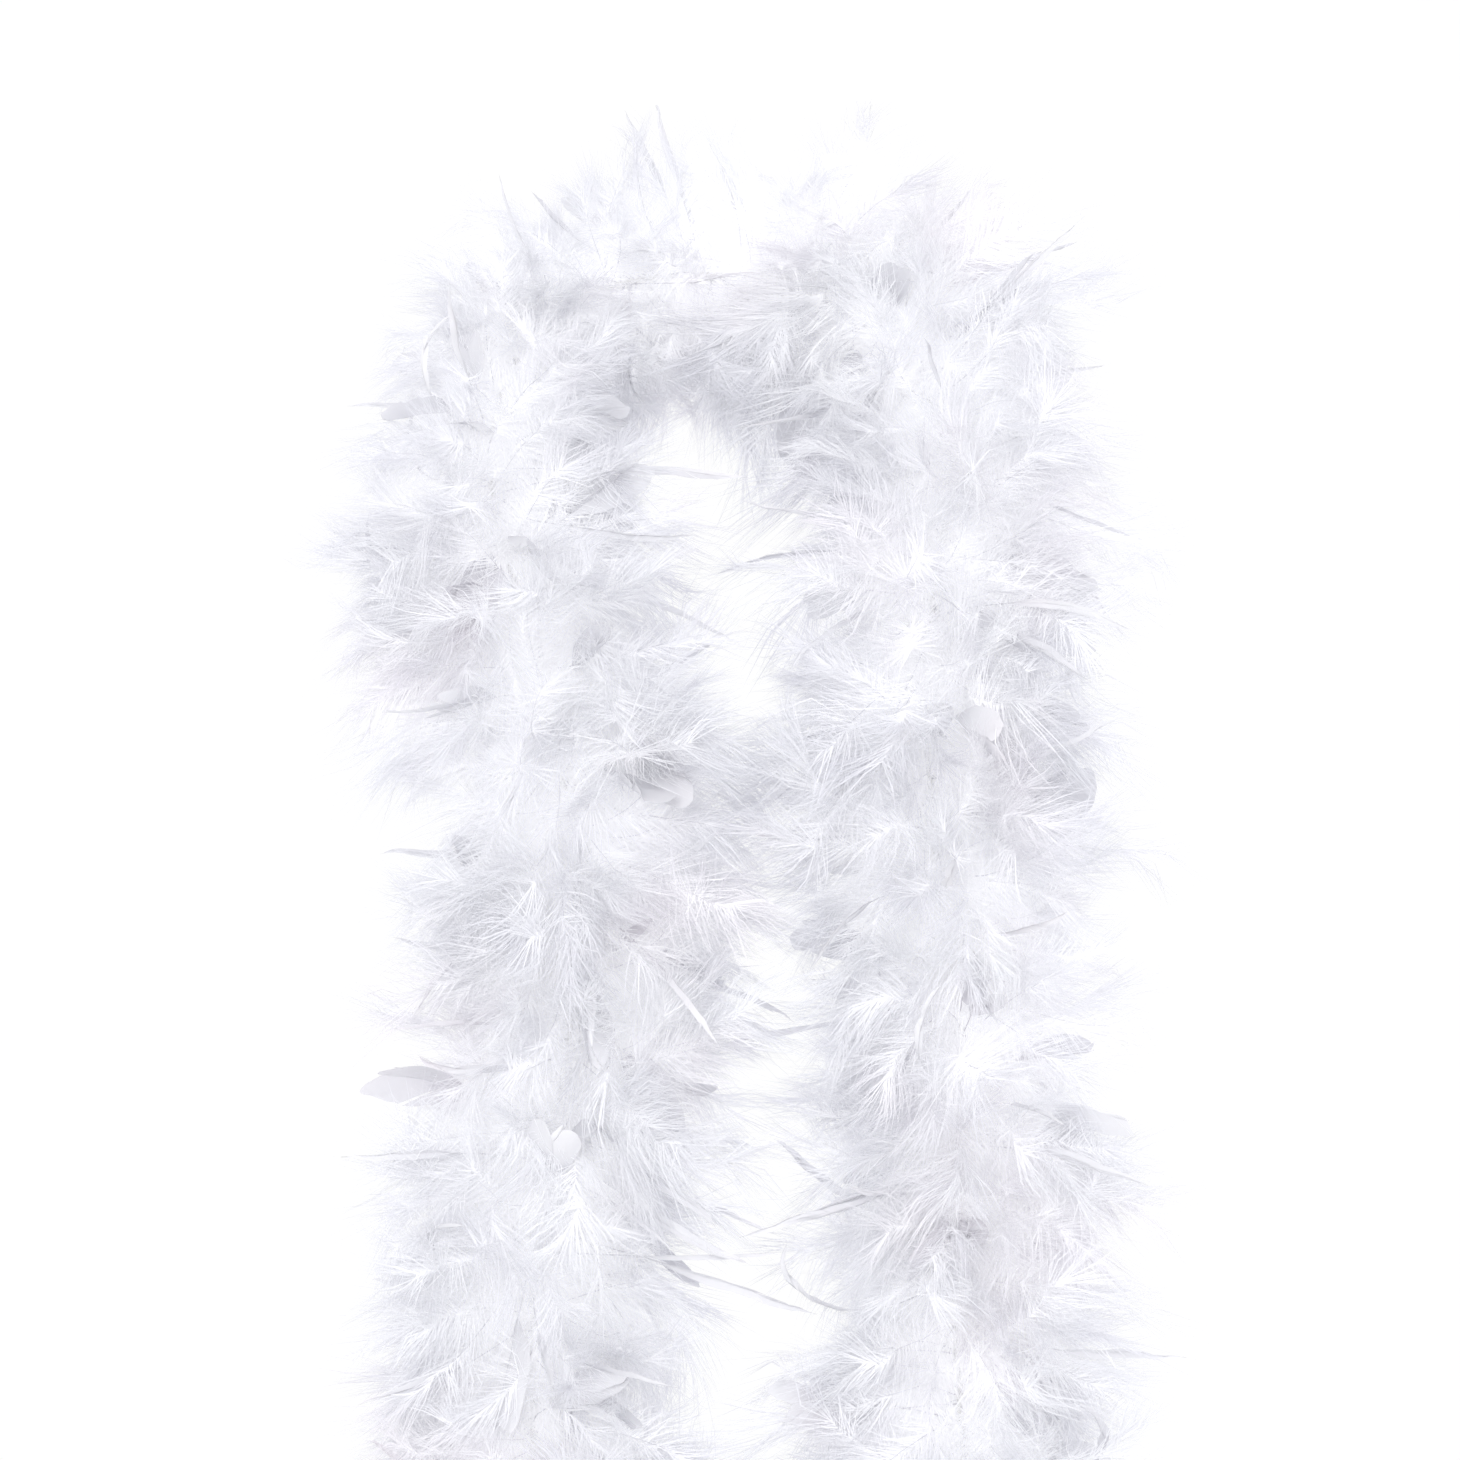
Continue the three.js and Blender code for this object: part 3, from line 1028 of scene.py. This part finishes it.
class BOA_OT_camera(bpy.types.Operator):
    """Place the camera straight in front of the wearer"""

    bl_idname = "boa.camera"
    bl_label = "Camera"

    HEIGHT = -0.240
    FRAME = 0.730  # what the picture covers at the tails, each way
    TAILS_Y = -0.165
    DISTANCE = 3.0

    def execute(self, context):
        data = bpy.data.cameras.new("camera")
        camera = bpy.data.objects.new("camera", data)
        context.collection.objects.link(camera)
        camera.location = (0, self.TAILS_Y - self.DISTANCE, self.HEIGHT)
        camera.rotation_euler = (math.pi / 2, 0, 0)
        data.angle = 2 * math.atan(self.FRAME / 2 / self.DISTANCE)
        context.scene.camera = camera
        return {"FINISHED"}


class BOA_OT_core_cord(bpy.types.Operator):
    """Twist the core cord and finish its ends with a whipping, a knot and a loop"""

    bl_idname = "boa.core_cord"
    bl_label = "Core cord"

    def execute(self, context):
        settings, colours = context.scene.boa_sizes, context.scene.boa_colours
        cotton = cord_material("core_cotton", colours.cord, 0.5)
        thread = cord_material("whipping_thread", colours.thread, 0.1)
        reach = FIRST_JOINT - SECTION_PITCH
        piece, line = cord_stretch("core_shoulders", -reach, reach, settings, cotton)
        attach(piece, "shoulders")
        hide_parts("core_cord_shoulders")
        declare_cord(piece, line, settings)
        for side_name, side in SIDES.items():
            for tail in TAILS:
                middle = joint_distance(tail)
                start, end = side * (middle - SECTION_PITCH), side * (middle + SECTION_PITCH)
                name = f"core_{side_name}_{tail}"
                piece, line = cord_stretch(name, start, end, settings, cotton)
                bend_at(piece, tail, side_name)
                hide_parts(f"core_cord_{side_name}_{tail}")
                declare_cord(piece, line, settings)
            start = side * (joint_distance(TAILS[-1]) + SECTION_PITCH)
            name = f"core_{side_name}_end"
            piece, line = cord_stretch(name, start, side * HALF_CORD, settings, cotton)
            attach(piece, f"{side_name}_tail_lower")
            fittings = self.fittings(side_name, line[-1], settings, cotton, thread)
            declare_cord(piece, line, settings)
        return {"FINISHED"}

    def fittings(self, side_name, end, settings, cotton, thread):
        pieces = {
            "whipping": self.whipping(f"whipping_{side_name}", end, settings, thread),
            "knot": self.knot(f"knot_{side_name}", end, settings, cotton),
            "loop": self.loop(f"loop_{side_name}", end, settings, cotton),
        }
        for label, piece in pieces.items():
            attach(piece, f"{side_name}_tail_lower")
            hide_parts(f"end_{label}_{side_name}")
        return pieces.values()

    @staticmethod
    def whipping(name, end, settings, material):
        pitch = WHIPPING_LENGTH / WHIPPING_TURNS
        turn = np.linspace(0, 2 * math.pi * WHIPPING_TURNS, 20 * WHIPPING_TURNS)
        radius = settings.cord_diameter / 2 + pitch * 0.45
        line = np.stack(
            [radius * np.cos(turn), radius * np.sin(turn), pitch * turn / (2 * math.pi)], axis=1
        )
        return mesh_piece(name, [tube(line + end, pitch * 0.52, 6)], material)

    @staticmethod
    def knot(name, end, settings, material):
        t = np.linspace(0, 2 * math.pi, 72, endpoint=False)
        trefoil = np.stack(
            [np.sin(t) + 2 * np.sin(2 * t), -np.sin(3 * t), np.cos(t) - 2 * np.cos(2 * t)], axis=1
        )
        thick = settings.cord_diameter * KNOT_PLY_RADIUS
        scale = (KNOT_SIZE / 2 - thick) / 3
        middle = end - np.array([0, 0, KNOT_SIZE / 2])
        return mesh_piece(name, [tube(middle + scale * trefoil, thick, 8, closed=True)], material)

    @staticmethod
    def loop(name, end, settings, material):
        t = np.linspace(0, 2 * math.pi, 64, endpoint=False)
        width, height = LOOP_SIZE
        narrow = np.sin(t / 2) ** 1.2
        thick = settings.cord_diameter * LOOP_PLY_RADIUS
        half = width / 2 - thick
        x = half * np.sin(t) * narrow
        z = -(height - settings.cord_diameter) * (1 - np.cos(t)) / 2
        top = end - np.array([0, 0, KNOT_SIZE * 0.9])
        line = top + np.stack([x, np.zeros_like(x), z], axis=1)
        return mesh_piece(name, [tube(line, thick, 8, closed=True)], material)


class BOA_OT_feathers(bpy.types.Operator):
    """Grow the feathers of every section on the core cord"""

    bl_idname = "boa.feathers"
    bl_label = "Feathers"

    SIZES = {"left": (0.92, 0.86, 0.88, 0.96), "right": (0.92, 0.98)}  # from the nape outwards
    ROOM = ((-0.227, -0.284, -0.834), (0.244, 0.0735, 0.0915))  # that the feathers may fill

    def execute(self, context):
        settings, colours = context.scene.boa_sizes, context.scene.boa_colours
        material = feather_material(colours)
        kinds = make_kinds(settings)
        layer = layer_tree()
        tree = section_tree(layer)
        for side_name, side in SIDES.items():
            for section in range(SECTIONS_A_SIDE):
                self.section(side_name, side, section, tree, kinds, material, settings)
        drop_kinds(kinds)
        bpy.data.node_groups.remove(tree)
        bpy.data.node_groups.remove(layer)
        return {"FINISHED"}

    def section(self, side_name, side, section, tree, kinds, material, settings):
        distances = side * (section + np.linspace(0.0, 1.0, SECTION_POINTS)) * SECTION_PITCH
        number = f"{section + 1:02d}"
        sizes = self.SIZES[side_name]
        size = sizes[section] if section < len(sizes) else 1.0
        values = {
            "Size": size,
            "Seed": settings.seed * 1000 + section * 10 + (500 if side > 0 else 0),
            "Ruffle": settings.ruffle,
            "Droop": settings.droop,
            "Tufts": settings.tufts,
            "Depth": settings.depth,
            "Lean": settings.lean,
            "Lowest": self.ROOM[0],
            "Highest": self.ROOM[1],
            "Feather": material,
        }
        for label, collection in kinds.items():
            values[f"{label} kinds"] = collection
            values[f"{label} feathers"] = getattr(settings, label)
        piece = grown(f"feathers_{side_name}_{number}", ROUTE.at(distances), tree, values)
        self.fasten(piece, side_name, section)
        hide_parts(f"feather_section_{side_name}_{number}")

    @staticmethod
    def fasten(piece, side_name, section):
        """Sections beside a joint have their place baked into their mesh, and the others ride on their
        body.
        """
        for tail in TAILS:
            joint = FIRST_TAIL_SECTION + TAILS.index(tail) * SECTIONS_A_BODY
            if section in (joint - 1, joint):
                bend_at(piece, tail, side_name)
                return
        last = section == SECTIONS_A_SIDE - 1
        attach(piece, f"{side_name}_tail_lower" if last else "shoulders")


class BOA_OT_stage(bpy.types.Operator):
    """Add the pale floor, the white surroundings and the soft lights"""

    bl_idname = "boa.stage"
    bl_label = "Stage"

    FLOOR_HEIGHT = -0.920
    FLOOR_RADIUS = 1.6
    WORLD_STRENGTH = 1.01
    LIT_POINT = Vector((0, -0.15, -0.3))  # that every lamp is turned to
    LAMPS = {  # the place, the size and the power of each
        "key": ((-0.5, -3.1, 0.3), 0.8, 26),
        "fill": ((1.6, -2.4, 0.0), 2.0, 10),
        "back": ((0.2, 2.0, 0.2), 1.6, 26),
    }

    def execute(self, context):
        self.floor(context)
        self.world(context)
        for name, (place, size, power) in self.LAMPS.items():
            self.light(name, place, size, power)
        context.scene.view_settings.view_transform = "Standard"
        return {"FINISHED"}

    def floor(self, context):
        bpy.ops.mesh.primitive_circle_add(
            vertices=96, radius=self.FLOOR_RADIUS, fill_type="NGON",
            location=(0, 0, self.FLOOR_HEIGHT),
        )
        floor = context.active_object
        floor.name = "floor"
        material, _, shader = new_material("floor")
        shader.inputs["Base Color"].default_value = (*context.scene.boa_colours.floor, 1)
        shader.inputs["Roughness"].default_value = 0.9
        floor.data.materials.append(material)
        floor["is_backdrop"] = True

    def world(self, context):
        world = bpy.data.worlds.new("white")
        world.use_nodes = True
        background = world.node_tree.nodes["Background"]
        background.inputs["Color"].default_value = (1, 1, 1, 1)
        background.inputs["Strength"].default_value = self.WORLD_STRENGTH
        context.scene.world = world

    def light(self, name, place, size, power):
        data = bpy.data.lights.new(name, "AREA")
        data.size, data.energy = size, power
        lamp = bpy.data.objects.new(name, data)
        bpy.context.collection.objects.link(lamp)
        lamp.location = place
        lamp.rotation_euler = (self.LIT_POINT - Vector(place)).to_track_quat("-Z", "Y").to_euler()


class BOA_PT_panel(bpy.types.Panel):
    """Buttons for the boa's pieces, with their sizes and colours"""

    bl_idname = "BOA_PT_panel"
    bl_label = "Feather boa"
    bl_space_type = "VIEW_3D"
    bl_region_type = "UI"
    bl_category = "Boa"

    def draw(self, context):
        for step in STEPS:
            self.layout.operator(step.bl_idname)
        for group in (context.scene.boa_sizes, context.scene.boa_colours):
            for name in group.bl_rna.properties.keys()[2:]:
                self.layout.prop(group, name)


STEPS = (BOA_OT_camera, BOA_OT_core_cord, BOA_OT_feathers, BOA_OT_stage)
CLASSES = (BoaSizes, BoaColours, *STEPS, BOA_PT_panel)


def register():
    for cls in CLASSES:
        bpy.utils.register_class(cls)
    bpy.types.Scene.boa_sizes = PointerProperty(type=BoaSizes)
    bpy.types.Scene.boa_colours = PointerProperty(type=BoaColours)


def unregister():
    del bpy.types.Scene.boa_sizes
    del bpy.types.Scene.boa_colours
    for cls in reversed(CLASSES):
        bpy.utils.unregister_class(cls)


def write_sizes():
    """Gathers the frame's box and the finished boa's box as plain numbers."""
    boxes = {"cad": CAD_BOX, "visual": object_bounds()}
    plain = {name: [[float(x) for x in corner] for corner in box] for name, box in boxes.items()}


def main():
    register()
    bpy.ops.boa.camera()
    bpy.ops.boa.core_cord()
    bpy.ops.boa.feathers()
    bpy.ops.boa.stage()
    write_sizes()


if __name__ == "__main__":
    main()
